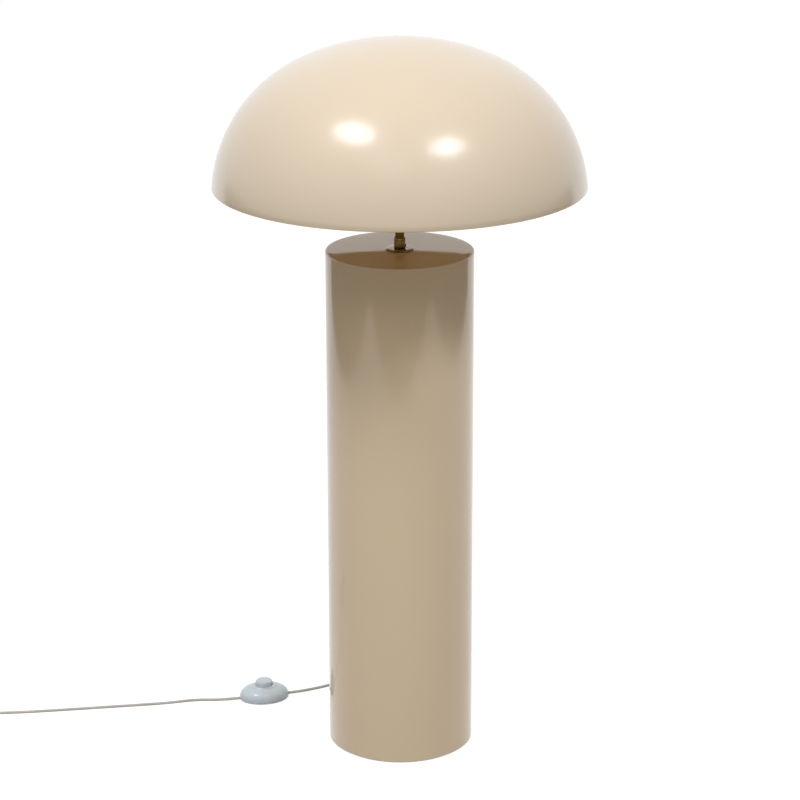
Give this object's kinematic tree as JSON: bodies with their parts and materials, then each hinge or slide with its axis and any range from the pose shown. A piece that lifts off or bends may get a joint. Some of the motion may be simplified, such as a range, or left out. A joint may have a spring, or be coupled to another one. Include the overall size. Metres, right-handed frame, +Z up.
{
  "type": "floor lamp",
  "caption": "Floor lamp: wide enamelled dome shade on a short brass stem over a tall cylindrical column, with a foot switch on its flex.",
  "frame": {"origin": "on the floor, in the middle of the column's foot pad", "axes": "+Z up along the column, +Y to the back where the flex comes out, -Y to the viewer"},
  "size_m": [0.9959, 0.4998, 0.9905],
  "materials": {
    "cream_enamel": "glossy stoved enamel",
    "aged_brass": "dark patinated, satin",
    "foam_pad": "fine closed-cell foam sheet",
    "raw_steel": "rolled, as sawn",
    "zinc_steel": "zinc plated",
    "black_thermoset": "moulded",
    "holder_ceramic": "unglazed",
    "nickel_brass": "nickel plated",
    "opal_glass": "opal, satin",
    "clear_vinyl": "clear soft vinyl over twisted wire",
    "plug_vinyl": "moulded vinyl",
    "switch_plastic": "pale grey-blue moulding, soft gloss"
  },
  "bodies": {
    "stand": {"column_shell": "cream_enamel", "base_pad": "foam_pad", "base_weight": "raw_steel", "base_tabs": "raw_steel", "base_screws": "zinc_steel", "stem_washer": "aged_brass", "stem_nipple": "zinc_steel", "stem_nut": "zinc_steel", "stem_collar": "aged_brass", "collar_set_screw": "aged_brass", "flex_bush": "clear_vinyl", "bush_nut": "black_thermoset", "flex_inner": "clear_vinyl", "flex_lamp_side": "clear_vinyl", "flex_plug_side": "clear_vinyl", "flex_coil": "clear_vinyl", "plug_body": "plug_vinyl", "plug_pins": "nickel_brass", "pin_sleeves": "black_thermoset", "switch_base": "switch_plastic", "switch_cover": "switch_plastic", "switch_module": "black_thermoset", "switch_terminals": "nickel_brass", "switch_screws": "zinc_steel", "flex_grips": "switch_plastic"},
    "head": {"stem_tube": "aged_brass", "holder_nipple": "zinc_steel", "holder_cap": "black_thermoset", "holder_sleeve": "black_thermoset", "holder_insert": "holder_ceramic", "screw_shell": "nickel_brass", "centre_contact": "nickel_brass", "bulb_cap": "nickel_brass", "bulb_glass": "opal_glass", "shade": "cream_enamel", "shade_ring_lower": "black_thermoset", "shade_ring_upper": "black_thermoset", "shade_spider": "cream_enamel"},
    "foot_button": {"switch_button": "switch_plastic"}
  },
  "joints": [
    {"name": "head_turn", "type": "hinge", "parent": "stand", "child": "head", "pos_m": [0, 0, 0.709], "axis": [0, 0, 1], "range_deg": [-175, 175]},
    {"name": "button_press", "type": "slide", "parent": "stand", "child": "foot_button", "axis": [0, 0, -1], "range_m": [0, 0.003], "stiffness_N_per_m": 900, "springref_m": -0.001}
  ]
}
